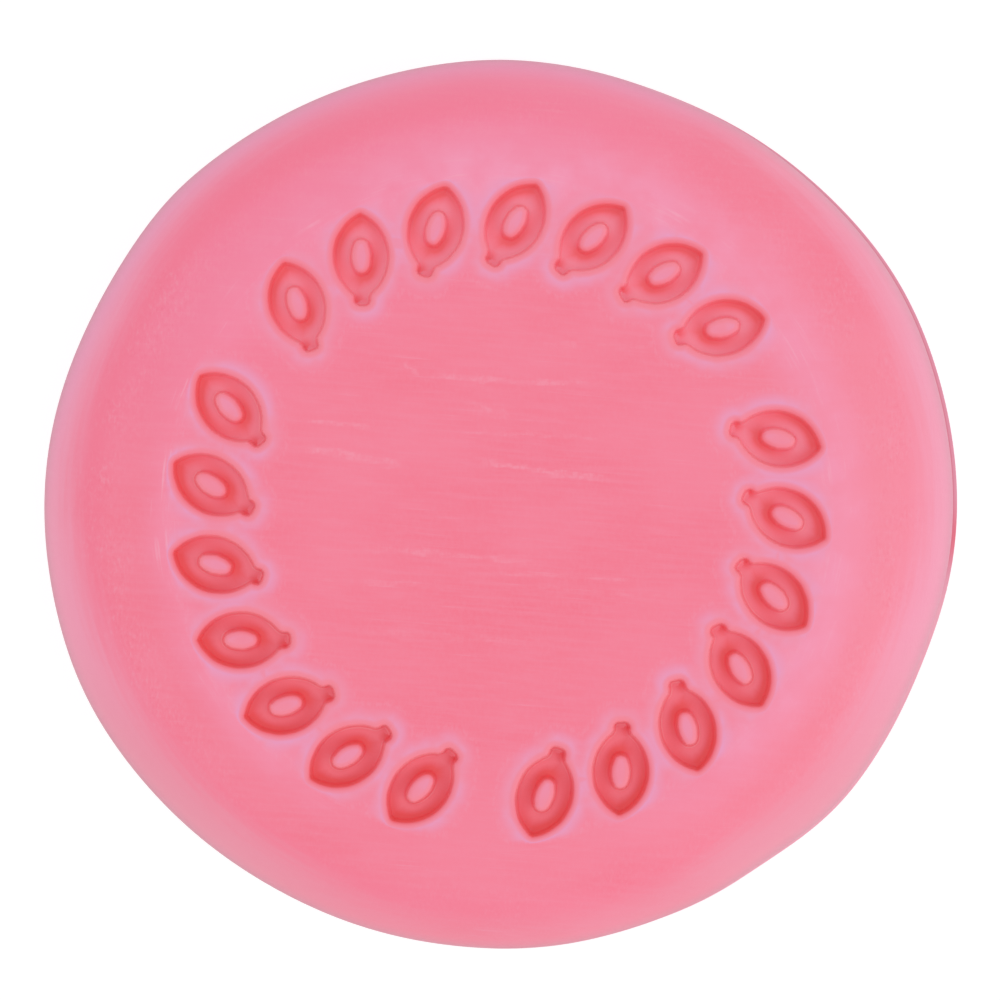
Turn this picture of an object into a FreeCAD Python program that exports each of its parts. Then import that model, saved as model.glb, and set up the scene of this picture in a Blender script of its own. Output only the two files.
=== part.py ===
import FreeCAD, Part
import math
import os

import Sketcher

# A round bar of struck toilet soap, lying on its plain back. The front carries a ring of
# sunken leaves, struck by the upper die. X is the way the two die halves are out of line,
# Z is up, and the origin is in the middle of the underside. Sizes are millimetres and degrees.

SIZES = (
    ("bar_width", 75.5, "across the bar along X, both halves together"),
    ("upper_height", 12.0, "parting line to the front face"),
    ("lower_height", 12.0, "back face to the parting line"),
    ("die_offset", 0.5, "how far the lower half stands out beyond the upper one along X"),
    ("rim_width", 10.0, "side of the bar to the crease round each face"),
    ("rim_slope", 14.0, "fall of the rim outwards from the crease"),
    ("edge_radius", 8.0, "rounding between the rim and the side"),
    ("side_draft", 5.0, "draft of the side, from the parting line"),
    ("ring_margin", 1.2, "crease of the front to the leaf tips"),
    ("first_gap_angle", 27.0, "direction of the first gap between two runs of leaves"),
    ("run_count", 3, "runs of leaves round the ring"),
    ("run_gap", 3.6, "room along the ring between two runs, beyond the usual pitch"),
    ("leaf_pitch", 6.2, "least room for a leaf along the ring"),
    ("leaf_lean", 27.0, "lean of a leaf off the radius, clockwise"),
    ("leaf_length", 7.0, "leaf from point to point, without its stem"),
    ("leaf_width", 4.5, "widest part of a leaf"),
    ("leaf_stroke", 1.5, "width of the sunken line round the island"),
    ("stem_length", 0.5, "stem beyond the inner point of a leaf"),
    ("stem_width", 1.3, "width of a stem"),
    ("mark_depth", 1.3, "depth of the marks below the front face"),
    ("mark_draft", 8.0, "draft of their walls"),
)
FULL_TURN = 360.0
START, END, CENTRE = 1, 2, 3
V_AXIS = -2
ORIGIN = -1

doc = FreeCAD.newDocument("soap")


def add_sizes():
    """The sheet of driving sizes: a note, the plain number and its alias on each row."""
    sheet = doc.addObject("Spreadsheet::Sheet", "sizes")
    for row, (alias, value, note) in enumerate(SIZES, start=1):
        sheet.set(f"A{row}", note)
        sheet.set(f"B{row}", str(value))
        sheet.setAlias(f"B{row}", alias)
    doc.recompute()
    return sheet


sizes = add_sizes()


def size(alias):
    """The number that the sheet holds for an alias."""
    return float(getattr(sizes, alias))


# Sizes that follow from the driving ones, as expressions on the sheet.
HALF_WIDTH = "(sizes.bar_width - sizes.die_offset) / 2"
CREASE_RADIUS = f"({HALF_WIDTH} - sizes.rim_width)"
FACE_HEIGHT = "(sizes.lower_height + sizes.upper_height)"
STEMMED_LENGTH = "(sizes.leaf_length + sizes.stem_length)"
LEAF_SIDE_RADIUS = "((sizes.leaf_length ^ 2 + sizes.leaf_width ^ 2) / (4 * sizes.leaf_width))"
RING_RADIUS = (
    f"({CREASE_RADIUS} - sizes.ring_margin"
    f" - {STEMMED_LENGTH} / 2 * cos(sizes.leaf_lean * 1 deg))"
)


def worked_out(expression):
    """The plain number that an expression on the sheet gives."""
    return float(sizes.evalExpression(expression))


def origin_plane(body, role):
    """One of the body's own origin planes."""
    return next(f for f in body.Origin.OriginFeatures if f.Role == role)


def new_sketch(body, name, role):
    """An empty sketch on one of the body's origin planes."""
    sketch = body.newObject("Sketcher::SketchObject", name)
    sketch.AttachmentSupport = (origin_plane(body, role), [""])
    sketch.MapMode = "FlatFace"
    return sketch


def constrain(sketch, kind, *where, name=None, expression=None):
    """Adds one constraint, named and bound to the sheet where it is a size."""
    index = sketch.addConstraint(Sketcher.Constraint(kind, *where))
    if name:
        sketch.renameConstraint(index, name)
        sketch.setExpression(f"Constraints.{name}", expression)


def line(start, end):
    return Part.LineSegment(FreeCAD.Vector(*start, 0), FreeCAD.Vector(*end, 0))


def arc(centre, radius, start, end):
    """The arc that runs anticlockwise from the direction of start to that of end."""
    circle = Part.Circle(FreeCAD.Vector(*centre, 0), FreeCAD.Vector(0, 0, 1), radius)
    first = math.atan2(start[1] - centre[1], start[0] - centre[0])
    last = math.atan2(end[1] - centre[1], end[0] - centre[0])
    return Part.ArcOfCircle(circle, first, last)


def cross(first, second):
    return first[0] * second[1] - first[1] * second[0]


def along(start, direction, distance):
    return start[0] + direction[0] * distance, start[1] + direction[1] * distance


def rounded_edge(crease, edge):
    """Side end, rim end and centre of the arc between the drafted side and the sloping rim.

    Points are a radius and a height over the parting line.
    """
    radius = size("edge_radius")
    draft = math.radians(size("side_draft"))
    slope = math.radians(size("rim_slope"))
    up_side = (-math.sin(draft), math.cos(draft))
    down_rim = (math.cos(slope), -math.sin(slope))
    span = (edge[0] - crease[0], edge[1] - crease[1])
    side_length = cross(span, down_rim) / cross(down_rim, up_side)
    rim_length = cross(span, up_side) / cross(down_rim, up_side)
    trimmed = radius * math.tan((math.pi / 2 - draft - slope) / 2)
    side_end = along(edge, up_side, side_length - trimmed)
    rim_end = along(crease, down_rim, rim_length - trimmed)
    centre = along(side_end, (-math.cos(draft), -math.sin(draft)), radius)
    return side_end, rim_end, centre


def half_section(body, name, up, height_alias, shift):
    """Half of the section of one die half: side, rounded edge, sloping rim and flat face.

    up is 1 for the upper half and -1 for the lower one; shift is where its axis stands along X.
    """
    half_width = worked_out(HALF_WIDTH)
    crease_radius = worked_out(CREASE_RADIUS)
    height = size(height_alias)
    side_end, rim_end, centre = rounded_edge((crease_radius, height), (half_width, 0))

    def at(point):
        return point[0], size("lower_height") + up * point[1]

    edge = at((half_width, 0))
    axis_foot = at((0, 0))
    crease = at((crease_radius, height))
    middle = at((0, height))
    sketch = new_sketch(body, name, "XZ_Plane")
    sketch.setExpression(".AttachmentOffset.Base.x", shift)
    parting_line = sketch.addGeometry(line(axis_foot, edge))
    side_line = sketch.addGeometry(line(edge, at(side_end)))
    arc_ends = (at(side_end), at(rim_end)) if up > 0 else (at(rim_end), at(side_end))
    edge_arc = sketch.addGeometry(arc(at(centre), size("edge_radius"), *arc_ends))
    rim_line = sketch.addGeometry(line(at(rim_end), crease))
    face_line = sketch.addGeometry(line(crease, middle))
    axis_line = sketch.addGeometry(line(middle, axis_foot))
    at_side, at_rim = (START, END) if up > 0 else (END, START)

    constrain(sketch, "Coincident", parting_line, END, side_line, START)
    constrain(sketch, "Tangent", side_line, END, edge_arc, at_side)
    constrain(sketch, "Tangent", edge_arc, at_rim, rim_line, START)
    constrain(sketch, "Coincident", rim_line, END, face_line, START)
    constrain(sketch, "Coincident", face_line, END, axis_line, START)
    constrain(sketch, "Coincident", axis_line, END, parting_line, START)
    constrain(sketch, "Horizontal", parting_line)
    constrain(sketch, "Horizontal", face_line)
    constrain(sketch, "Vertical", axis_line)
    constrain(sketch, "PointOnObject", parting_line, START, V_AXIS)
    constrain(sketch, "DistanceY", ORIGIN, START, parting_line, START, size("lower_height"),
              name="parting", expression="sizes.lower_height")
    constrain(sketch, "DistanceX", parting_line, START, parting_line, END, half_width,
              name="half_width", expression=HALF_WIDTH)
    constrain(sketch, "Angle", side_line, up * math.radians(90 + size("side_draft")),
              name="draft", expression=f"{up} * (90 deg + sizes.side_draft * 1 deg)")
    constrain(sketch, "Radius", edge_arc, size("edge_radius"),
              name="edge_radius", expression="sizes.edge_radius")
    constrain(sketch, "Angle", rim_line, up * math.radians(180 - size("rim_slope")),
              name="rim_slope", expression=f"{up} * (180 deg - sizes.rim_slope * 1 deg)")
    constrain(sketch, "DistanceX", face_line, END, face_line, START, crease_radius,
              name="crease_radius", expression=CREASE_RADIUS)
    low_end, high_end = (END, START) if up > 0 else (START, END)
    constrain(sketch, "DistanceY", axis_line, low_end, axis_line, high_end, height,
              name="height", expression=f"sizes.{height_alias}")
    return sketch


def revolve(body, sketch, name):
    """Turns a half section round its own upright axis."""
    turned = body.newObject("PartDesign::Revolution", name)
    turned.Profile = sketch
    turned.ReferenceAxis = (sketch, ["V_Axis"])
    turned.Angle = FULL_TURN


def leaf_points():
    """Centres and corners of one side of a leaf: point at +x, stem at -x, middle at 0."""
    bow = worked_out(LEAF_SIDE_RADIUS)
    drop = bow - size("leaf_width") / 2
    half_length = size("leaf_length") / 2
    half_stem = size("stem_width") / 2
    stem_end = -half_length - size("stem_length")
    island_half = math.sqrt((bow - size("leaf_stroke")) ** 2 - drop ** 2)
    return {
        "side": (0, -drop),
        "point": (half_length, 0),
        "stem_root": (-math.sqrt(bow ** 2 - (half_stem + drop) ** 2), half_stem),
        "stem_corner": (stem_end, half_stem),
        "stem_end": (stem_end, 0),
        "island_point": (island_half, 0),
        "island_heel": (-island_half, 0),
    }


def leaf_sketch(body):
    """One leaf with its stem and its island, on the ring at twelve o'clock."""
    bow = worked_out(LEAF_SIDE_RADIUS)
    island_bow = bow - size("leaf_stroke")
    ring = worked_out(RING_RADIUS)
    lean = math.radians(90 - size("leaf_lean"))
    stem_shift = size("stem_length") / 2
    points = leaf_points()

    def at(name, side=1):
        """A leaf point in the sketch; side -1 takes the one across the leaf's axis."""
        x, y = points[name][0] + stem_shift, points[name][1] * side
        return (math.cos(lean) * x - math.sin(lean) * y,
                ring + math.sin(lean) * x + math.cos(lean) * y)

    sketch = new_sketch(body, "leaf_outline", "XY_Plane")
    axis = sketch.addGeometry(line(at("stem_end"), at("point")), True)
    on_ring = sketch.addGeometry(Part.Point(FreeCAD.Vector(0, ring, 0)), True)
    across = sketch.addGeometry(line(at("side"), at("side", -1)), True)
    left = sketch.addGeometry(arc(at("side"), bow, at("point"), at("stem_root")))
    left_stem = sketch.addGeometry(line(at("stem_root"), at("stem_corner")))
    stem_end = sketch.addGeometry(line(at("stem_corner"), at("stem_corner", -1)))
    right_stem = sketch.addGeometry(line(at("stem_corner", -1), at("stem_root", -1)))
    right = sketch.addGeometry(arc(at("side", -1), bow, at("stem_root", -1), at("point")))
    island_left = sketch.addGeometry(
        arc(at("side"), island_bow, at("island_point"), at("island_heel")))
    island_right = sketch.addGeometry(
        arc(at("side", -1), island_bow, at("island_heel"), at("island_point")))

    constrain(sketch, "PointOnObject", on_ring, START, V_AXIS)
    constrain(sketch, "DistanceY", ORIGIN, START, on_ring, START, ring,
              name="ring_radius", expression=RING_RADIUS)
    constrain(sketch, "Symmetric", axis, START, axis, END, on_ring, START)
    constrain(sketch, "Angle", axis, lean,
              name="lean", expression="90 deg - sizes.leaf_lean * 1 deg")
    constrain(sketch, "Distance", axis, worked_out(STEMMED_LENGTH),
              name="stemmed_length", expression=STEMMED_LENGTH)
    constrain(sketch, "Symmetric", across, START, across, END, axis)
    constrain(sketch, "Distance", across, math.dist(at("side"), at("side", -1)),
              name="side_spread", expression=f"2 * {LEAF_SIDE_RADIUS} - sizes.leaf_width")
    for side_arc, centre_end in ((left, START), (right, END)):
        constrain(sketch, "Coincident", side_arc, CENTRE, across, centre_end)
    constrain(sketch, "Radius", left, bow,
              name="side_radius", expression=LEAF_SIDE_RADIUS)
    constrain(sketch, "Coincident", left, START, axis, END)
    constrain(sketch, "Coincident", right, END, axis, END)
    constrain(sketch, "Coincident", left, END, left_stem, START)
    constrain(sketch, "Coincident", left_stem, END, stem_end, START)
    constrain(sketch, "Coincident", stem_end, END, right_stem, START)
    constrain(sketch, "Coincident", right_stem, END, right, START)
    constrain(sketch, "Symmetric", stem_end, START, stem_end, END, axis, START)
    constrain(sketch, "Perpendicular", stem_end, axis)
    constrain(sketch, "Distance", stem_end, size("stem_width"),
              name="stem_width", expression="sizes.stem_width")
    for stem_line in (left_stem, right_stem):
        constrain(sketch, "Parallel", stem_line, axis)
    constrain(sketch, "Coincident", island_left, CENTRE, across, START)
    constrain(sketch, "Coincident", island_right, CENTRE, across, END)
    constrain(sketch, "Radius", island_left, island_bow,
              name="island_radius", expression=f"{LEAF_SIDE_RADIUS} - sizes.leaf_stroke")
    constrain(sketch, "Equal", island_left, island_right)
    constrain(sketch, "Coincident", island_left, START, island_right, END)
    constrain(sketch, "Coincident", island_left, END, island_right, START)
    return sketch


def set_on_ring(sketch, turn):
    """Puts a mark's sketch on the front face, centred on the ring, clockwise from the first gap."""
    sketch.setExpression(".AttachmentOffset.Base.x", "-sizes.die_offset / 2")
    sketch.setExpression(".AttachmentOffset.Base.z", FACE_HEIGHT)
    sketch.setExpression(".AttachmentOffset.Rotation.Angle",
                         f"sizes.first_gap_angle * 1 deg - 90 deg - {turn} * 1 deg")


def round_ring(body, pattern_set, count, step, sketch, name):
    """One level of the ring's pattern: count copies, step degrees apart, clockwise."""
    pattern = body.newObject("PartDesign::PolarPattern", name)
    pattern.Axis = (sketch, ["N_Axis"])
    pattern.Mode = "Spacing"
    pattern.Reversed = True
    pattern.Occurrences = count
    pattern.Offset = step
    pattern_set.Transformations = pattern_set.Transformations + [pattern]


def build_halves(body):
    """The two struck halves, which meet at the parting line a little out of line."""
    lower = half_section(
        body, "lower_section", -1, "lower_height", "sizes.die_offset / 2")
    revolve(body, lower, "lower_half")
    upper = half_section(
        body, "upper_section", 1, "upper_height", "-sizes.die_offset / 2")
    revolve(body, upper, "upper_half")
    doc.recompute()


def build_leaves(body):
    """The ring of leaves, sunk into the front with drafted walls."""
    runs = int(size("run_count"))
    run_length = 2 * math.pi * worked_out(RING_RADIUS) / runs
    leaf_room = run_length - size("run_gap")
    leaves_per_run = int(leaf_room / size("leaf_pitch"))
    run_angle = FULL_TURN / runs
    gap_angle = run_angle * size("run_gap") / run_length
    step = (run_angle - gap_angle) / leaves_per_run

    outline = leaf_sketch(body)
    set_on_ring(outline, (gap_angle + step) / 2)
    doc.recompute()
    leaf = body.newObject("PartDesign::Pocket", "leaf")
    leaf.Profile = outline
    leaf.Type = "Length"
    leaf.setExpression("Length", "sizes.mark_depth")
    leaf.setExpression("TaperAngle", "-sizes.mark_draft * 1 deg")
    doc.recompute()
    ring = body.newObject("PartDesign::MultiTransform", "leaf_ring")
    ring.Originals = [leaf]
    round_ring(body, ring, leaves_per_run, step, outline, "one_run")
    round_ring(body, ring, runs, run_angle, outline, "all_runs")
    body.Tip = ring
    doc.recompute()


def check(bar):
    """Stops the build if a feature failed, a sketch is loose or the solid is not sound."""
    for feature in doc.Objects:
        if "Invalid" in feature.State or "Error" in feature.State:
            raise RuntimeError(f"{feature.Name} did not build: {feature.State}")
        if feature.TypeId == "Sketcher::SketchObject" and not feature.FullyConstrained:
            raise RuntimeError(f"{feature.Name} is not fully constrained")
    if bar.Shape.isNull() or not bar.Shape.isValid() or len(bar.Shape.Solids) != 1:
        raise RuntimeError("the bar is not one valid solid")


def main():
    os.makedirs("parts", exist_ok=True)
    bar = doc.addObject("PartDesign::Body", "soap_bar")
    bar.Label = "soap_bar"
    build_halves(bar)
    build_leaves(bar)
    check(bar)
    bar.Shape.exportStep(f"parts/{bar.Label}.step")
    print(bar.Label, round(bar.Shape.Volume), "mm3 in", len(bar.Shape.Faces), "faces")


main()
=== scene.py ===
import math
import random
from types import SimpleNamespace

import bpy
import numpy as np
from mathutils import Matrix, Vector
from mathutils.geometry import delaunay_2d_cdt


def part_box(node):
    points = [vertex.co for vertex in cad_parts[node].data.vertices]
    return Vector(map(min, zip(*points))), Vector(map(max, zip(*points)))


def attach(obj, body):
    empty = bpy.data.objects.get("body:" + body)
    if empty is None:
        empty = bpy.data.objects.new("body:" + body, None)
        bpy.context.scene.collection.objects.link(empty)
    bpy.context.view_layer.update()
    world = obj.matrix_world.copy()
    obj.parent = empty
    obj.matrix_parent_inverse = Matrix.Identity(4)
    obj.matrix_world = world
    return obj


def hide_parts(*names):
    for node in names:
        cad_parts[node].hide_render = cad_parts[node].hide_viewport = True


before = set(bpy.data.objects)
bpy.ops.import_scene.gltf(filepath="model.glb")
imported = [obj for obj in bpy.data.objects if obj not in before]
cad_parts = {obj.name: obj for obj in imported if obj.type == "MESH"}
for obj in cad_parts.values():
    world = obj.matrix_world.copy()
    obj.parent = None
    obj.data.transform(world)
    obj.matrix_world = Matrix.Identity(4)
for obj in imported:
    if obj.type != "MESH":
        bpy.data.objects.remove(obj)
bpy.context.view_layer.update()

# MM is a millimetre on a bar of the nominal width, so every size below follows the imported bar.
NOMINAL_WIDTH = 75.5
low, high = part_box("soap_bar")
MM = (high.x - low.x) / NOMINAL_WIDTH
THICKNESS = (high.z - low.z) / MM
PARTING = THICKNESS / 2

# The section of a die half, in mm: radii are from the axis of that half, heights from the
# parting line, where an inset and a height break the corner.
DIE_SHIFT = 0.25
HALF_WIDTH = 37.5
CREASE = 27.5
CREASE_SOFTNESS = 0.45
RIM_SLOPE = math.radians(14)
EDGE_RADIUS = 8.0
SIDE_DRAFT = math.radians(5)
FACE_LIMIT = 26.95
RIM_RADII = (FACE_LIMIT, 27.2, 27.45, 27.7, 27.95, 28.25, 28.6, 29.0, 29.5, 30.0, 30.5)
EDGE_ROWS = 22
SIDE_HEIGHTS = (3.4, 2.5, 1.6, 0.8, 0.35, 0.14)
PARTING_BREAK = (0.03, 0.05)
COLUMNS = 384

# How far each row has turned from face to side, 0 to 1, and past 1 at the parting line.
RIM_FLANK = 0.24
SIDE_FLANK = 1.0
UPPER_BREAK_FLANK = 1.2
LOWER_BREAK_FLANK = 1.4

# The ring of leaves, in mm and degrees.
RING_RADIUS = 22.96
RUNS = 3
LEAVES_PER_RUN = 7
FIRST_GAP = 27.0
GAP_ANGLE = 8.98
LEAN = 27.0
LEAF_LENGTH = 7.0
LEAF_WIDTH = 4.5
STROKE = 1.5
STEM_LENGTH = 0.5
STEM_WIDTH = 1.3
TIP_ROUND = 0.45
ROOT_ROUND = 0.62
ISLAND_ROUND = 0.56

# Points along each arc of a leaf and of its island.
TIP_POINTS = 9
BOW_POINTS = 24
ROOT_POINTS = 7
STEM_POINTS = 5
ISLAND_BOW_POINTS = 15

# The wall of a mark from the face down: distance outside its outline, and depth.
WALL = (
    (0.460, 0.000), (0.350, 0.010), (0.250, 0.030), (0.165, 0.064), (0.095, 0.112), (0.040, 0.180),
    (0.005, 0.275), (-0.022, 0.420), (-0.092, 0.900), (-0.118, 1.040), (-0.160, 1.155),
    (-0.222, 1.235), (-0.310, 1.282), (-0.430, 1.300),
)
LIP_REACH = WALL[0][0]
MARK_DEPTH = WALL[-1][1]
HALO_WIDTH = 2.2
LIP_TEAR = 0.008
STEM_TEAR = 0.010
STEM_TEAR_REACH = 0.4
TEAR_FULLNESS = 0.7

# The loose points on the faces: spacing and gaps in mm, scatter and rows as shares of the spacing.
FRONT_SPACING = 0.5
BACK_SPACING = 2.2
ROW_SHARE = 0.866
SCATTER = 0.15
CLEAR_OF_MARKS = 0.25
FRONT_MARGIN = 0.4
BACK_MARGIN = 1
DISTANCE_PARTS = 40

# Points nearer than these, in mm, are one point.
SAME_POINT = 1e-4
DELAUNAY_GAP = 1e-7

random.seed(4)


def smooth(share):
    """A share from 0 to 1 that starts and ends level."""
    return share * share * (3 - 2 * share)


def polar(radius, degrees):
    """A point in the plane at a radius and a direction."""
    turn = math.radians(degrees)
    return np.array((radius * math.cos(turn), radius * math.sin(turn)))


def loop_of(arcs, offset):
    """One closed loop of points, which lies offset outside the outline. Each arc is its centre,
    radius, first and last direction and point count; a negative radius is a hollow corner."""
    points = []
    for centre, radius, first, last, count in arcs:
        for share in np.linspace(0, 1, count):
            turn = first + (last - first) * share
            reach = radius + offset
            points.append((centre[0] + reach * math.cos(turn), centre[1] + reach * math.sin(turn)))
    return np.array(points)


def leaf_arcs():
    """The outlines of a leaf and of its island, along +x, with rounded corners."""
    bow = (LEAF_LENGTH ** 2 + LEAF_WIDTH ** 2) / (4 * LEAF_WIDTH)
    drop = bow - LEAF_WIDTH / 2
    tip_x = math.sqrt((bow - TIP_ROUND) ** 2 - drop ** 2)
    tip_turn = math.atan2(drop, tip_x)
    half_stem = STEM_WIDTH / 2
    root_y = half_stem + ROOT_ROUND
    root_x = -math.sqrt((bow + ROOT_ROUND) ** 2 - (root_y + drop) ** 2)
    root_turn = math.atan2(root_y + drop, root_x)
    corner_x = -LEAF_LENGTH / 2 - STEM_LENGTH + TIP_ROUND
    corner_y = half_stem - TIP_ROUND
    quarter = math.pi / 2
    turn = 2 * math.pi
    outline = (
        ((tip_x, 0), TIP_ROUND, -tip_turn, tip_turn, TIP_POINTS),
        ((0, -drop), bow, tip_turn, root_turn, BOW_POINTS),
        ((root_x, root_y), -ROOT_ROUND, root_turn, quarter, ROOT_POINTS),
        ((corner_x, corner_y), TIP_ROUND, quarter, 2 * quarter, STEM_POINTS),
        ((corner_x, -corner_y), TIP_ROUND, 2 * quarter, 3 * quarter, STEM_POINTS),
        ((root_x, -root_y), -ROOT_ROUND, 3 * quarter, turn - root_turn, ROOT_POINTS),
        ((0, drop), bow, turn - root_turn, turn - tip_turn, BOW_POINTS),
    )
    island_bow = bow - STROKE
    island_x = math.sqrt((island_bow - ISLAND_ROUND) ** 2 - drop ** 2)
    island_turn = math.atan2(drop, island_x)
    island = (
        ((island_x, 0), ISLAND_ROUND, -island_turn, island_turn, TIP_POINTS),
        ((0, -drop), island_bow, island_turn, math.pi - island_turn, ISLAND_BOW_POINTS),
        ((-island_x, 0), ISLAND_ROUND, math.pi - island_turn, math.pi + island_turn, TIP_POINTS),
        ((0, drop), island_bow, math.pi + island_turn, turn - island_turn, ISLAND_BOW_POINTS),
    )
    return outline, island


def without_repeats(loops):
    """The same loops less the points that repeat where one arc hands over to the next."""
    middle = loops[len(loops) // 2]
    gaps = np.linalg.norm(middle - np.roll(middle, 1, axis=0), axis=1)
    return [loop[gaps > SAME_POINT] for loop in loops]


def torn(loops):
    """The same loops with a torn wall, roughest at the stem; the first and last loop stay."""
    middle = loops[len(loops) // 2]
    out = edge_directions(middle)
    tears = np.array([random.gauss(0, 1) for _ in middle])
    tears = tears + 0.5 * (np.roll(tears, 1) + np.roll(tears, -1))
    at_stem = middle[:, 0] < -LEAF_LENGTH / 2 + STEM_TEAR_REACH
    tears *= np.where(at_stem, STEM_TEAR, LIP_TEAR)
    shares = np.sin(np.linspace(0, math.pi, len(loops))) ** TEAR_FULLNESS
    return [loop + (tears * share)[:, None] * out for loop, share in zip(loops, shares)]


def inside(points, loop):
    """Which points lie inside a closed loop."""
    x, y = points[:, 0], points[:, 1]
    found = np.zeros(len(points), bool)
    for (ax, ay), (bx, by) in zip(loop, np.roll(loop, -1, axis=0)):
        crosses = (ay > y) != (by > y)
        if by != ay:
            found ^= crosses & (x < (bx - ax) * (y - ay) / (by - ay) + ax)
    return found


def triangulate(loops, loose):
    """Triangles over the points of closed loops and loose points, none merged or added."""
    points = np.concatenate([*loops, loose]) if len(loose) else np.concatenate(loops)
    edges = []
    start = 0
    for loop in loops:
        count = len(loop)
        edges += [(start + k, start + (k + 1) % count) for k in range(count)]
        start += count
    made = delaunay_2d_cdt([tuple(p) for p in points], edges, [], 0, DELAUNAY_GAP)
    source = [original[0] for original in made[3]]
    return points, np.array([[source[k] for k in face] for face in made[2]])


class Surface:
    """The growing mesh: points in mm, faces, and what each point carries for the looks."""

    def __init__(self):
        self.points = []
        self.looks = {"depth": [], "halo": [], "lee": [], "flank": []}
        self.faces = []

    def add(self, points, **looks):
        """Adds points and returns their numbers; looks left out are 0."""
        start = len(self.points)
        self.points.extend(map(tuple, points))
        for name, values in self.looks.items():
            values.extend(np.broadcast_to(looks.get(name, 0), len(points)))
        return list(range(start, len(self.points)))

    def strip(self, first, second):
        """Quads between two closed rows; first is the lower one for an outward face."""
        count = len(first)
        for k in range(count):
            after = (k + 1) % count
            self.faces.append((first[k], first[after], second[after], second[k]))


def face_fall(radius):
    """How far the front lies below its middle at a radius, with a soft crease."""
    bend = (np.asarray(radius) - CREASE) / CREASE_SOFTNESS
    return math.tan(RIM_SLOPE) * CREASE_SOFTNESS * np.logaddexp(0, bend)


def raised(points, depth):
    """Plan points of the front, with the height of the front less a depth."""
    points = np.asarray(points)
    radius = np.hypot(points[:, 0] + DIE_SHIFT, points[:, 1])
    return np.column_stack((points, THICKNESS - face_fall(radius) - depth))


def edge_directions(loop):
    """The direction out of a closed anticlockwise loop at each of its points."""
    run = np.roll(loop, -1, axis=0) - np.roll(loop, 1, axis=0)
    run /= np.linalg.norm(run, axis=1)[:, None]
    return np.column_stack((run[:, 1], -run[:, 0]))


def halo_at(distance):
    """The strength of the painted highlight halo round a mark at a distance in mm from its outline.
    """
    return smooth(np.clip(1 - np.asarray(distance) / HALO_WIDTH, 0, 1))


def add_leaf(surface, place, direction):
    """One leaf: rolled lip, drafted wall, foot, floor and island. Returns its outer loop."""
    outline, island = leaf_arcs()
    turn = math.radians(direction)
    spin = np.array(((math.cos(turn), math.sin(turn)), (-math.sin(turn), math.cos(turn))))
    middle = place + STEM_LENGTH / 2 * spin[0]
    outer = torn(without_repeats([loop_of(outline, offset) for offset, _ in WALL]))
    inner = torn(without_repeats([loop_of(island, -offset) for offset, _ in WALL]))
    rows = {}
    for name, loops in (("outer", outer), ("inner", inner)):
        rows[name] = []
        for loop, (offset, depth) in zip(loops, WALL):
            halo = halo_at(max(0, offset))
            placed = loop @ spin + middle
            outward = placed / np.linalg.norm(placed, axis=1)[:, None]
            facing = np.sum(edge_directions(loop) @ spin * outward, axis=1)
            facing = facing if name == "outer" else -facing
            rows[name].append(surface.add(raised(placed, depth), depth=depth / MARK_DEPTH,
                                          halo=halo, lee=0.5 + 0.5 * facing))
    for above, below in zip(rows["outer"], rows["outer"][1:]):
        surface.strip(above, below)
    for above, below in zip(rows["inner"], rows["inner"][1:]):
        surface.strip(below, above)

    floor_numbers = rows["outer"][-1] + rows["inner"][-1]
    points, triangles = triangulate([outer[-1], inner[-1]], [])
    middles = points[triangles].mean(axis=1)
    kept = inside(middles, outer[-1]) & ~inside(middles, inner[-1])
    surface.faces += [tuple(floor_numbers[k] for k in face) for face in triangles[kept]]

    points, triangles = triangulate([inner[0]], [])
    kept = inside(points[triangles].mean(axis=1), inner[0])
    surface.faces += [tuple(rows["inner"][0][k] for k in face) for face in triangles[kept]]
    return rows["outer"][0], outer[0] @ spin + middle


def distance_to(points, loops):
    """The distance from each point to the nearest corner of the loops, in parts to save memory."""
    corners = np.concatenate(loops)
    nearest = []
    for part in np.array_split(points, DISTANCE_PARTS):
        gaps = part[:, None, :] - corners[None, :, :]
        nearest.append(np.sqrt((gaps ** 2).sum(axis=2).min(axis=1)))
    return np.concatenate(nearest)


def scattered(spacing, limit, axis):
    """Points about spacing apart within a circle, a little off a grid of even triangles."""
    found = []
    rows = int(limit / (spacing * ROW_SHARE))
    for row in range(-rows, rows + 1):
        y = row * spacing * ROW_SHARE
        for column in range(-int(limit / spacing) - 1, int(limit / spacing) + 2):
            x = (column + 0.5 * (row % 2)) * spacing
            x += random.uniform(-SCATTER, SCATTER) * spacing
            found.append((x + axis, y + random.uniform(-SCATTER, SCATTER) * spacing))
    found = np.array(found)
    return found[np.hypot(found[:, 0] - axis, found[:, 1]) < limit]


def add_front(surface, rim):
    """The flat front inside the rim's first row, with its ring of leaves."""
    loops = []
    numbers = list(rim)
    step = (360 / RUNS - GAP_ANGLE) / LEAVES_PER_RUN
    for run in range(RUNS):
        for leaf in range(LEAVES_PER_RUN):
            angle = FIRST_GAP - GAP_ANGLE / 2 - (leaf + 0.5) * step - run * 360 / RUNS
            place = polar(RING_RADIUS, angle) + np.array((-DIE_SHIFT, 0))
            row, loop = add_leaf(surface, place, angle - LEAN)
            loops.append(loop)
            numbers += row
    fill = scattered(FRONT_SPACING, FACE_LIMIT - FRONT_MARGIN, -DIE_SHIFT)
    clear = distance_to(fill, loops) > CLEAR_OF_MARKS
    for loop in loops:
        clear &= ~inside(fill, loop)
    fill = fill[clear]
    rim_loop = np.array([surface.points[k][:2] for k in rim])
    halo = halo_at(distance_to(fill, loops) + LIP_REACH)
    numbers += surface.add(raised(fill, 0), halo=halo)
    points, triangles = triangulate([rim_loop, *loops], fill)
    middles = points[triangles].mean(axis=1)
    kept = inside(middles, rim_loop)
    for loop in loops:
        kept &= ~inside(middles, loop)
    surface.faces += [tuple(numbers[k] for k in face) for face in triangles[kept]]


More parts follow.
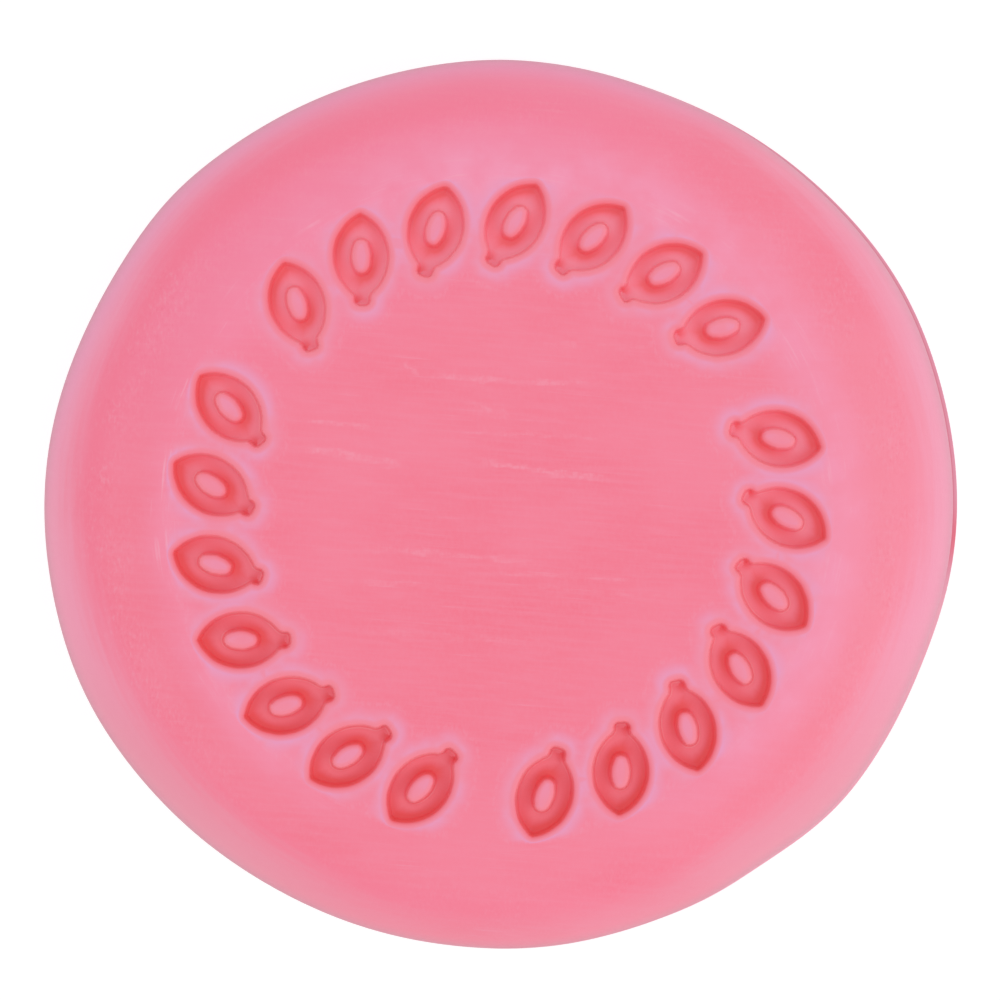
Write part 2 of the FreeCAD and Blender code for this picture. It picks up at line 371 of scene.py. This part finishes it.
def half_rows(up):
    """Radius, height over the parting line and flank share, from the face out and down."""
    rows = [(radius, PARTING - face_fall(radius), RIM_FLANK) for radius in RIM_RADII]
    side = np.array((-math.sin(SIDE_DRAFT), math.cos(SIDE_DRAFT)))
    rim = np.array((math.cos(RIM_SLOPE), -math.sin(RIM_SLOPE)))
    span = np.array((HALF_WIDTH - CREASE, -PARTING))
    side_length = (span[0] * rim[1] - span[1] * rim[0]) / (rim[0] * side[1] - rim[1] * side[0])
    trimmed = EDGE_RADIUS * math.tan((math.pi / 2 - SIDE_DRAFT - RIM_SLOPE) / 2)
    side_end = np.array((HALF_WIDTH, 0)) + side * (side_length - trimmed)
    centre = side_end - EDGE_RADIUS * np.array((math.cos(SIDE_DRAFT), math.sin(SIDE_DRAFT)))
    for turn in np.linspace(math.pi / 2 - RIM_SLOPE, SIDE_DRAFT, EDGE_ROWS):
        radius, height = centre + EDGE_RADIUS * np.array((math.cos(turn), math.sin(turn)))
        rows.append((radius, height, math.cos(turn)))
    for height in SIDE_HEIGHTS:
        rows.append((HALF_WIDTH - height * math.tan(SIDE_DRAFT), height, SIDE_FLANK))
    inset, height = PARTING_BREAK
    rows.append((HALF_WIDTH - inset, height, UPPER_BREAK_FLANK if up > 0 else LOWER_BREAK_FLANK))
    return rows


# How far the silhouette stands from an ellipse, in mm: direction, spread in degrees, amount.
OUTLINE_BUMPS = (
    (154, 15, -0.33), (340, 11, -0.36), (30, 12, 0.25), (204, 11, 0.21), (319, 7, 0.17),
    (90, 12, 0.12), (67, 9, -0.13), (306, 6, -0.17), (136, 8, 0.16), (277, 9, 0.11),
    (238, 12, -0.10),
)
OUTLINE_X = 38.05
OUTLINE_Y = 36.88
OUTLINE_RISE = 0.44
OUTLINE_EASE = 8


def outline_share(directions):
    """The bar's real outline over its nominal one, by direction from the middle."""
    radius = 1 / np.hypot(np.cos(directions) / OUTLINE_X, np.sin(directions) / OUTLINE_Y)
    for degrees, spread, amount in OUTLINE_BUMPS:
        apart = np.degrees(directions) - degrees
        apart = (apart + 180) % 360 - 180
        radius = radius + amount * np.exp(-(apart / spread) ** 2)
    radius = radius + OUTLINE_RISE * np.sin(directions)
    return radius / (HALF_WIDTH + DIE_SHIFT * np.abs(np.cos(directions)))


def ring_points(radius, height, axis, directions):
    """A row of points where rays from the origin meet a circle about a half's axis."""
    reach = axis * np.cos(directions)
    reach = reach + np.sqrt(radius ** 2 - (axis * np.sin(directions)) ** 2)
    return np.column_stack((reach * np.cos(directions), reach * np.sin(directions),
                            np.full(len(directions), height)))


def shaped(points):
    """The bar out of round: its outline eased in between the crease and the side."""
    points = np.array(points)
    radius = np.hypot(points[:, 0], points[:, 1])
    ease = smooth(np.clip((radius - FACE_LIMIT) / OUTLINE_EASE, 0, 1))
    share = outline_share(np.arctan2(points[:, 1], points[:, 0]))
    points[:, :2] *= (1 + ease * (share - 1))[:, None]
    return points


def add_half(surface, up, directions):
    """The rim, edge and side of one die half. Returns its first and last row."""
    axis = -up * DIE_SHIFT
    rows = []
    for radius, height, flank in half_rows(up):
        row = ring_points(radius, PARTING + up * height, axis, directions)
        rows.append(surface.add(row, flank=flank))
    for outer, inner in zip(rows[1:], rows):
        if up > 0:
            surface.strip(outer, inner)
        else:
            surface.strip(inner, outer)
    return rows[0], rows[-1]


def build_bar():
    """The whole bar as one closed mesh."""
    surface = Surface()
    directions = np.linspace(0, 2 * math.pi, COLUMNS, endpoint=False)
    front_rim, upper_parting = add_half(surface, 1, directions)
    back_rim, lower_parting = add_half(surface, -1, directions)
    surface.strip(lower_parting, upper_parting)
    add_front(surface, front_rim)

    back_loop = np.array([surface.points[k][:2] for k in back_rim])
    fill = scattered(BACK_SPACING, FACE_LIMIT - BACK_MARGIN, DIE_SHIFT)
    numbers = back_rim + surface.add(np.column_stack((fill, np.zeros(len(fill)))))
    points, triangles = triangulate([back_loop], fill)
    surface.faces += [tuple(numbers[k] for k in face[::-1]) for face in triangles]

    mesh = bpy.data.meshes.new("soap_surface")
    mesh.from_pydata([tuple(p) for p in shaped(surface.points) * MM], [], surface.faces)
    mesh.validate()
    for name, values in surface.looks.items():
        attribute = mesh.attributes.new(name, "FLOAT", "POINT")
        attribute.data.foreach_set("value", np.array(values, np.float32))
    mesh.polygons.foreach_set("use_smooth", [True] * len(mesh.polygons))
    mesh.update()
    bar = bpy.data.objects.new("soap_surface", mesh)
    bpy.context.scene.collection.objects.link(bar)
    return bar


bar = build_bar()
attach(bar, "root")
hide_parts("soap_bar")


class Nodes:
    """A short way to write a material's node tree."""

    # The colour sockets of a Mix node, which share their names with others.
    MIX_FIRST = 6
    MIX_SECOND = 7
    MIX_RESULT = 2

    def __init__(self, name):
        self.material = bpy.data.materials.new(name)
        self.material.use_nodes = True
        self.tree = self.material.node_tree
        self.shader = self.tree.nodes["Principled BSDF"]

    def new(self, kind, *inputs, **values):
        """A node, its properties by name and its first inputs in order."""
        node = self.tree.nodes.new(kind)
        for key, value in values.items():
            setattr(node, key, value)
        for socket, value in zip(node.inputs, inputs):
            self.feed(socket, value)
        return node

    def link(self, source, target):
        self.tree.links.new(source, target)

    def feed(self, target, value):
        """Links a socket, or sets a plain value."""
        if isinstance(value, bpy.types.NodeSocket):
            self.link(value, target)
        else:
            target.default_value = value

    def maths(self, operation, *inputs):
        return self.new("ShaderNodeMath", *inputs, operation=operation).outputs[0]

    def times(self, *factors):
        """The product of any count of values."""
        product = factors[0]
        for factor in factors[1:]:
            product = self.maths("MULTIPLY", product, factor)
        return product

    def weighted(self, total, *terms):
        """A first value plus any count of (value, weight) products."""
        for value, weight in terms:
            total = self.maths("MULTIPLY_ADD", value, weight, total)
        return total

    def mix(self, share, first, second):
        """A blend of two colours, each a socket or a screen colour."""
        node = self.new("ShaderNodeMix", share, data_type="RGBA")
        for number, value in ((self.MIX_FIRST, first), (self.MIX_SECOND, second)):
            self.feed(node.inputs[number], linear(value) if isinstance(value, tuple) else value)
        return node.outputs[self.MIX_RESULT]

    def ranged(self, value, low_in, high_in, low_out=0.0, high_out=1.0):
        """A value taken from one range to another, smoothly and clamped."""
        return self.new("ShaderNodeMapRange", value, low_in, high_in, low_out, high_out,
                        interpolation_type="SMOOTHSTEP").outputs[0]

    def hump(self, value, middle, reach):
        """1 at the middle, falling smoothly to 0 at the reach to both sides."""
        away = self.maths("ABSOLUTE", self.maths("SUBTRACT", value, middle))
        return self.ranged(away, 0.0, reach, 1.0, 0.0)

    def noise(self, place, pitch, detail, roughness, seed=0.0):
        """Noise with its own pitch in mm along each axis."""
        mapping = self.new("ShaderNodeMapping", place, (seed, seed, seed))
        mapping.inputs["Scale"].default_value = tuple(1 / step for step in pitch)
        node = self.new("ShaderNodeTexNoise")
        self.link(mapping.outputs[0], node.inputs["Vector"])
        node.inputs["Scale"].default_value = 1
        node.inputs["Detail"].default_value = detail
        node.inputs["Roughness"].default_value = roughness
        return node.outputs["Fac"]

    def attribute(self, name):
        return self.new("ShaderNodeAttribute", attribute_name=name).outputs["Fac"]


def linear(screen):
    """A screen colour, three values from 0 to 255, as a shader colour."""
    shares = [value / 255 for value in screen]
    return (*(share / 12.92 if share <= 0.04045 else ((share + 0.055) / 1.055) ** 2.4
              for share in shares), 1)


# The soap's screen colours. The front:
GROUND_DEEP = (253, 118, 146)
GROUND_LIGHT = (254, 129, 157)
PALE_STREAK = (253, 139, 167)
SOUTH_BLUSH = (253, 108, 135)
EAST_PALE = (253, 156, 178)
COOL_CORNER = (253, 130, 170)
FIBRE = (253, 151, 178)
RING_SHEEN = (253, 157, 193)
CREASE_LINE = (253, 172, 198)
DRY_SCUFF = (253, 168, 192)

# The edge and the parting line, with painted sheen on the edge and painted light and shadow at the
# parting line:
DEEP_EDGE = (255, 120, 152)
DENT_RIDGE_HIGHLIGHT = (251, 160, 184)
DENT_HOLLOW_SHADE = (247, 108, 138)
SOUTH_EDGE_SHEEN = (245, 154, 178)
NORTH_EDGE_SHEEN = (252, 164, 196)
LILAC_EDGE_SHEEN = (238, 151, 196)
TURNED_OVER_SHEEN = (216, 132, 160)
HEM_SHEEN = (190, 126, 148)
SOUTH_BAND_LIGHT = (253, 182, 202)
NORTH_BAND_LIGHT = (240, 156, 182)
RUBBED_BAND = (244, 104, 128)
PARTING_SHADOW_LINE = (228, 96, 126)

# The marks, with painted light and shade. Each stroke has a near side, toward the bar's middle, and a
# far side:
HALO_HIGHLIGHT_PINK = (246, 153, 184)
HALO_HIGHLIGHT_LILAC = (241, 160, 201)
HALO_EDGE_SPECKS = (250, 172, 200)
LIP = (253, 132, 152)
FAR_LIP_SHADE = (250, 108, 122)
SOUTH_FLOOR_SHADE = (247, 106, 121)
SOUTH_FLOOR_NEAR_SHADE = (252, 125, 141)
NORTH_FLOOR_SHADE = (255, 133, 152)
NORTH_FLOOR_NEAR_SHADE = (255, 152, 174)
NEAR_WALL_LIGHT = (255, 146, 158)
FOOT_HIGHLIGHT = (255, 176, 184)
SOUTH_SHADE = (245, 88, 94)
NORTH_SHADE = (250, 107, 118)

STREAK_TILT = math.radians(4.5)

# Dry scuffs on the front, in mm: start, end, half width and strength.
SCUFFS = (
    ((-7.9, 12.0), (-6.6, 10.6), 0.15, 0.30),
    ((-7.4, 10.8), (9.4, 10.1), 0.20, 0.38),
    ((-2.8, 8.4), (0.8, 7.8), 0.40, 0.32),
    ((-16.2, 7.1), (-9.6, 6.6), 0.16, 0.36),
    ((-16.2, 5.0), (-7.6, 3.6), 0.28, 0.50),
    ((-4.2, 6.4), (8.8, 5.8), 0.12, 0.30),
    ((-2.5, 4.0), (10.2, 2.2), 0.24, 0.42),
    ((-11.9, -2.9), (3.8, -4.3), 0.24, 0.34),
    ((-1.5, -4.9), (12.5, -5.8), 0.14, 0.22),
    ((1.0, -6.1), (15.0, -7.0), 0.18, 0.18),
    ((-16.0, -5.4), (-4.5, -6.2), 0.16, 0.20),
    ((-12.5, -9.6), (5.0, -10.7), 0.22, 0.16),
    ((2.5, 13.4), (13.0, 12.9), 0.16, 0.18),
)


def soap_fields(n):
    """What the soap's colour goes by: place in mm, noises and what the mesh carries."""
    scaled = n.new("ShaderNodeMapping", n.new("ShaderNodeTexCoord").outputs["Object"])
    scaled.inputs["Scale"].default_value = (1 / MM, 1 / MM, 1 / MM)
    place = scaled.outputs[0]
    x, y, z = n.new("ShaderNodeSeparateXYZ", place).outputs
    flat = n.new("ShaderNodeVectorMath", place, (1, 1, 0), operation="MULTIPLY").outputs[0]
    radius = n.new("ShaderNodeVectorMath", flat, operation="LENGTH").outputs["Value"]
    outward = n.new("ShaderNodeVectorMath", flat, operation="NORMALIZE").outputs[0]
    across, along, _ = n.new("ShaderNodeSeparateXYZ", outward).outputs
    turning = n.new("ShaderNodeCombineXYZ", across, along, radius).outputs[0]
    tilted = n.new("ShaderNodeMapping", place)
    tilted.inputs["Rotation"].default_value = (0, 0, STREAK_TILT)
    drawn = tilted.outputs[0]

    # The lower left and right, where the painted sheen of the edge reaches further in.
    wide = n.maths("ABSOLUTE", x)
    at_sides = n.ranged(wide, 6, 20)
    corners = n.maths("SUBTRACT", at_sides, n.times(at_sides, n.ranged(y, -18, 8)))
    return SimpleNamespace(
        place=place, x=x, y=y, z=z, radius=radius,
        wide=wide, tall=n.maths("ABSOLUTE", y), corners=corners,
        upper_left=n.weighted(y, (x, -0.5)),
        depth=n.attribute("depth"), halo=n.attribute("halo"),
        flank=n.attribute("flank"), lee=n.attribute("lee"),
        streaks=n.noise(drawn, (5, 0.36, 2), 4, 0.65),
        threads=n.noise(drawn, (9, 0.24, 2), 3, 0.6, 3.1),
        clouds=n.noise(place, (11, 6, 6), 3, 0.5, 7.7),
        speckle=n.noise(place, (0.22, 0.46, 0.3), 2, 0.6, 1.3),
        patches=n.noise(place, (4, 4, 4), 3, 0.6, 5.2),
        turned_lines=n.noise(turning, (0.20, 0.20, 0.22), 3, 0.6, 6.1),
        rim_lines=n.noise(turning, (0.28, 0.28, 0.45), 4, 0.65, 2.7))


def milled_ground(n, at):
    """The clouded pink of the whole bar, with its drawn streaks and fibres."""
    base = n.mix(n.ranged(at.clouds, 0.3, 0.72), GROUND_DEEP, GROUND_LIGHT)
    south = n.times(n.hump(at.y, -12, 15), n.hump(at.x, -3, 24), 0.4)
    base = n.mix(south, base, SOUTH_BLUSH)
    east = n.times(n.ranged(at.x, 14, 36, 0, 0.5), n.ranged(at.y, 10, 26, 1, 0))
    base = n.mix(east, base, EAST_PALE)
    base = n.mix(n.ranged(at.upper_left, 14, 32, 0, 0.6), base, COOL_CORNER)
    base = n.mix(n.times(n.ranged(at.streaks, 0.38, 0.72), 0.5), base, PALE_STREAK)
    fibres = n.times(n.ranged(at.threads, 0.6, 0.76), n.ranged(at.patches, 0.4, 0.65, 0.2, 0.7))
    base = n.mix(fibres, base, FIBRE)
    return n.mix(n.ranged(at.speckle, 0.35, 0.8, 0, 0.3), base, PALE_STREAK)


def painted_sheen_ring(n, at, base):
    """The pale ring round the crease, a painted sheen strongest at the top, with broken turned lines
    in it.
    """
    wider_east = n.times(n.ranged(at.x, 5, 25), n.ranged(at.y, 6, 14, 1.2, 0))
    ring = n.hump(at.radius, 27.0, n.maths("ADD", n.ranged(at.y, 4, 22, 2.8, 5.8), wider_east))
    upper_corners = n.times(at.wide, n.maths("MAXIMUM", at.y, 0))
    strength = n.weighted(0.65, (at.x, 0.009), (at.y, 0.026), (at.corners, 0.6),
                          (upper_corners, -0.0013))
    ring_sheen = n.times(ring, n.ranged(at.patches, 0.3, 0.7, 0.5, 1.0), strength, 0.9)
    base = n.mix(ring_sheen, base, RING_SHEEN)
    crease = n.times(n.hump(at.radius, 27.2, 1.9), n.ranged(at.turned_lines, 0.54, 0.66))
    broken = n.times(n.ranged(at.patches, 0.42, 0.6), n.ranged(at.y, -20, -4, 0.1, 0.75))
    return n.mix(n.times(crease, broken), base, CREASE_LINE)


def scuff_mask(n, place, tear):
    """Thin strokes that a tear noise sways, the strongest of them at each point."""
    total = 0.0
    for start, end, width, strength in SCUFFS:
        span = np.subtract(end, start)
        length = float(np.hypot(*span))
        stroke = n.new("ShaderNodeMapping", place, vector_type="TEXTURE")
        stroke.inputs["Location"].default_value = (*start, 0)
        stroke.inputs["Rotation"].default_value = (0, 0, math.atan2(span[1], span[0]))
        along, across, _ = n.new("ShaderNodeSeparateXYZ", stroke.outputs[0]).outputs
        off = n.maths("ABSOLUTE", n.maths("ADD", across, n.times(tear, 1.2)))
        line = n.ranged(off, width * 0.3, width * 1.6, strength, 0.0)
        from_middle = n.maths("ABSOLUTE", n.maths("SUBTRACT", along, length / 2))
        taper = n.ranged(from_middle, length * 0.3, length / 2, 1, 0)
        total = n.maths("MAXIMUM", total, n.times(line, taper))
    return total


def scuffed(n, at, base):
    """Dry, broken scuffs on the front."""
    tear = n.maths("SUBTRACT", n.noise(at.place, (2.2, 0.5, 1), 3, 0.6, 9.4), 0.5)
    gaps = n.ranged(n.noise(at.place, (1.4, 0.7, 1), 2, 0.5, 8.3), 0.38, 0.6, 0.25, 1)
    scuffs = n.times(scuff_mask(n, at.place, tear), n.ranged(at.speckle, 0.3, 0.6, 0.35, 1), gaps)
    return n.mix(scuffs, base, DRY_SCUFF)


def dented_shoulder(n, at, base):
    """The deeper pink where the rim turns into the edge, dented at the left and right, with painted
    highlights on the crests and painted shade in the dips of the dents.
    """
    turned = n.times(n.hump(at.flank, 0.48, 0.3), n.ranged(at.x, -22, 18, 0.75, 0.15))
    base = n.mix(turned, base, DEEP_EDGE)
    shoulder = n.hump(at.radius, 32.0, 4.0)
    dents = n.times(n.ranged(at.patches, 0.35, 0.62, 0.15, 1),
                    n.ranged(at.tall, 14, 26, 0.9, 0.3))
    ridge_highlights = n.times(shoulder, n.ranged(at.speckle, 0.5, 0.75), dents, 0.6)
    base = n.mix(ridge_highlights, base, DENT_RIDGE_HIGHLIGHT)
    hollow_shade = n.times(shoulder, n.ranged(at.speckle, 0.5, 0.25), dents, 0.5)
    return n.mix(hollow_shade, base, DENT_HOLLOW_SHADE)


def painted_edge_sheen(n, at, base):
    """Painted sheen on the rounded edge, paler and bluer, and a duller, greyer painted sheen where it
    meets the side.
    """
    above_side = n.ranged(at.z, PARTING - 2, PARTING + 5.2, 0.2, 1)
    drift = n.weighted(at.flank, (at.corners, 0.19), (n.ranged(at.y, 12, 30), -0.10),
                       (n.maths("SUBTRACT", at.rim_lines, 0.5), 0.35))
    edge_sheen = n.times(n.ranged(drift, 0.45, 0.92), n.ranged(at.tall, 26, 37, 0.8, 0.15),
                   n.ranged(above_side, 0.2, 1, 0.65, 1))
    base = n.mix(edge_sheen, base, n.mix(n.ranged(at.y, -24, -6), SOUTH_EDGE_SHEEN, NORTH_EDGE_SHEEN))
    lilac_sheen = n.times(n.ranged(at.upper_left, 16, 32), n.ranged(at.flank, 0.68, 0.95),
                    above_side, 0.62)
    base = n.mix(lilac_sheen, base, LILAC_EDGE_SHEEN)
    # Painted grazing sheen, darker and greyer, where the edge turns over to the side.
    turn_over_sheen = n.times(n.ranged(at.flank, 0.84, 1.0, 0, 0.46), above_side)
    base = n.mix(turn_over_sheen, base, TURNED_OVER_SHEEN)
    hem_sheen = n.times(n.ranged(at.flank, 0.92, 0.99), above_side, n.ranged(at.x, -4, 30, 0.34, 0.03))
    return n.mix(hem_sheen, base, HEM_SHEEN)


def parting_band(n, at, base):
    """The thin strip of the lower half that stands out at the right, painted lighter against the
    shade it lies in, rubbed in one place, with a painted shadow line at the parting.
    """
    lower_band = n.ranged(at.flank, 1.02, 1.3)
    # Painted lighter than the shade that the strip lies in under the upper side.
    base = n.mix(lower_band, base, n.mix(n.ranged(at.y, -9, -3), SOUTH_BAND_LIGHT, NORTH_BAND_LIGHT))
    base = n.mix(n.times(lower_band, n.hump(at.y, -2.2, 3.6), 0.8), base, RUBBED_BAND)
    # A painted shadow line in the step between the two halves.
    parting = n.times(n.hump(at.flank, 1.27, 0.07), n.ranged(at.y, -8, 3, 0, 0.55))
    return n.mix(parting, base, PARTING_SHADOW_LINE)


def mark_surrounds(n, at, base, far_side):
    """The painted highlight halo round each mark, for rim light and glow through the soap, and its
    warm lip.
    """
    halo_highlight = n.mix(n.ranged(at.patches, 0.4, 0.62), HALO_HIGHLIGHT_PINK, HALO_HIGHLIGHT_LILAC)
    cover = n.times(n.ranged(at.halo, 0, 1, 0, 0.94), n.ranged(at.patches, 0.32, 0.6, 0.62, 1))
    base = n.mix(cover, base, halo_highlight)
    # Faint pale specks along the outer part of the halo.
    echo = n.times(n.hump(at.halo, 0.14, 0.14), n.ranged(at.speckle, 0.42, 0.6), 0.15)
    base = n.mix(echo, base, HALO_EDGE_SPECKS)
    base = n.mix(n.times(n.ranged(at.halo, 0.76, 0.985), 0.9), base, LIP)
    # Painted shade that spreads over the lip on the far side.
    return n.mix(n.times(n.ranged(at.halo, 0.93, 1.0), far_side, 0.5), base, FAR_LIP_SHADE)


def sunken_marks(n, at, base, far_side):
    """Painted shade inside the marks, paler at the top of the bar than at the bottom, darkest on the
    far walls, with painted light on the near walls and a painted highlight at the foot.
    """
    near_side = n.ranged(at.lee, 0.15, 0.65, 1, 0)
    north = n.ranged(n.weighted(at.y, (at.x, 0.2)), -24, 24)
    floor = n.mix(north, n.mix(near_side, SOUTH_FLOOR_SHADE, SOUTH_FLOOR_NEAR_SHADE),
                  n.mix(near_side, NORTH_FLOOR_SHADE, NORTH_FLOOR_NEAR_SHADE))
    # Painted shade: the floors and walls of the marks take a deeper red than the face.
    base = n.mix(n.ranged(at.depth, 0.01, 0.2), base, floor)
    # Painted light on the near walls, and a painted highlight along their foot.
    base = n.mix(n.times(near_side, n.hump(at.depth, 0.42, 0.55)), base, NEAR_WALL_LIGHT)
    foot = n.times(n.hump(at.depth, 0.965, 0.03), near_side, n.ranged(at.patches, 0.35, 0.6), 0.6)
    base = n.mix(foot, base, FOOT_HIGHLIGHT)
    shade = n.times(n.ranged(at.depth, 0.04, 0.3), far_side)
    return n.mix(shade, base, n.mix(north, SOUTH_SHADE, NORTH_SHADE))


def add_skin(n, at):
    """The waxy gloss and the fine grain of the surface, coarser on the edge."""
    grain = n.noise(at.place, (0.9, 0.12, 0.3), 3, 0.6, 2.2)
    coarse = n.times(n.ranged(at.flank, 0.2, 0.4), at.speckle)
    bump = n.new("ShaderNodeBump")
    bump.inputs["Strength"].default_value = 0.25
    bump.inputs["Distance"].default_value = 0.05 * MM
    n.link(n.maths("ADD", n.times(grain, 0.5), n.times(coarse, 1.3)), bump.inputs["Height"])
    n.link(bump.outputs[0], n.shader.inputs["Normal"])
    n.link(n.ranged(at.streaks, 0.2, 0.8, 0.42, 0.55), n.shader.inputs["Roughness"])
    n.shader.inputs["IOR"].default_value = 1.46
    n.shader.inputs["Sheen Weight"].default_value = 0.12
    n.shader.inputs["Sheen Roughness"].default_value = 0.5


def soap_material():
    """Pink milled soap, its colour laid on in steps, several of which paint light and shade into it.
    """
    n = Nodes("milled_soap")
    at = soap_fields(n)
    base = milled_ground(n, at)
    for step in (painted_sheen_ring, scuffed, dented_shoulder, painted_edge_sheen, parting_band):
        base = step(n, at, base)
    # The far side of each stroke, where painted shade darkens the wall and the lip.
    far_side = n.ranged(at.lee, 0.5, 0.95)
    base = mark_surrounds(n, at, base, far_side)
    base = sunken_marks(n, at, base, far_side)
    n.link(base, n.shader.inputs["Base Color"])
    add_skin(n, at)
    return n.material


bar.data.materials.append(soap_material())

# The table: its half width in metres, its grey, and what the camera sees of its white glow.
TABLE_REACH = 3.0
TABLE_GREY = 0.9
TABLE_GLOW = 1.28
GLOW_SHARE = 0.6


def stage_floor():
    """A plain white table that keeps a soft shadow."""
    n = Nodes("table")
    n.shader.inputs["Base Color"].default_value = (TABLE_GREY, TABLE_GREY, TABLE_GREY, 1)
    n.shader.inputs["Roughness"].default_value = 0.8
    glow = n.new("ShaderNodeEmission")
    glow.inputs["Strength"].default_value = TABLE_GLOW
    seen = n.new("ShaderNodeLightPath").outputs["Is Camera Ray"]
    blend = n.new("ShaderNodeMixShader", n.times(seen, GLOW_SHARE), n.shader.outputs[0],
                  glow.outputs[0])
    n.link(blend.outputs[0], n.tree.nodes["Material Output"].inputs["Surface"])
    corners = [(x * TABLE_REACH, y * TABLE_REACH, 0) for x, y in ((-1, -1), (1, -1), (1, 1), (-1, 1))]
    mesh = bpy.data.meshes.new("table")
    mesh.from_pydata(corners, [], [(0, 1, 2, 3)])
    mesh.materials.append(n.material)
    floor = bpy.data.objects.new("table", mesh)
    bpy.context.scene.collection.objects.link(floor)


stage_floor()


def light_from(name, place, target, width, power):
    """A soft square lamp that looks at a point."""
    lamp = bpy.data.lights.new(name, "AREA")
    lamp.shape = "SQUARE"
    lamp.size = width
    lamp.energy = power
    holder = bpy.data.objects.new(name, lamp)
    holder.location = place
    aim = Vector(target) - Vector(place)
    holder.rotation_euler = aim.to_track_quat("-Z", "Y").to_euler()
    bpy.context.scene.collection.objects.link(holder)


light_from("right_window", (0.55, -0.25, 0.45), (0, 0, 0.01), 0.5, 0.6)

# The strength of the light from all sides, and how much more of it the camera sees.
WORLD_LIGHT = 0.86
WORLD_SEEN = 0.2


def studio_world():
    """Even light from all sides; the camera sees it as white."""
    world = bpy.data.worlds.new("studio")
    world.use_nodes = True
    tree = world.node_tree
    background = tree.nodes["Background"]
    background.inputs["Color"].default_value = (1, 1, 1, 1)
    seen = tree.nodes.new("ShaderNodeLightPath").outputs["Is Camera Ray"]
    strength = tree.nodes.new("ShaderNodeMath")
    strength.operation = "MULTIPLY_ADD"
    tree.links.new(seen, strength.inputs[0])
    strength.inputs[1].default_value = WORLD_SEEN
    strength.inputs[2].default_value = WORLD_LIGHT
    tree.links.new(strength.outputs[0], background.inputs["Strength"])
    bpy.context.scene.world = world


studio_world()

# The camera looks straight down from 0.3 m above the face. Lengths are in mm, and 12 of the
# picture's 1000 pixels are a mm at the depth of the outline.
CAMERA_HEIGHT = 300.0
CAMERA_X = -0.14
CAMERA_Y = 0.81
OUTLINE_DEPTH = 11.5
VIEW_WIDTH = 1000 / 12.0
SENSOR = 36
camera_data = bpy.data.cameras.new("camera")
camera_data.sensor_width = SENSOR
camera_data.lens = SENSOR * (CAMERA_HEIGHT + OUTLINE_DEPTH) / VIEW_WIDTH
camera = bpy.data.objects.new("camera", camera_data)
camera.location = (CAMERA_X * MM, CAMERA_Y * MM, (THICKNESS + CAMERA_HEIGHT) * MM)
bpy.context.scene.collection.objects.link(camera)
bpy.context.scene.camera = camera
bpy.context.scene.view_settings.view_transform = "Standard"
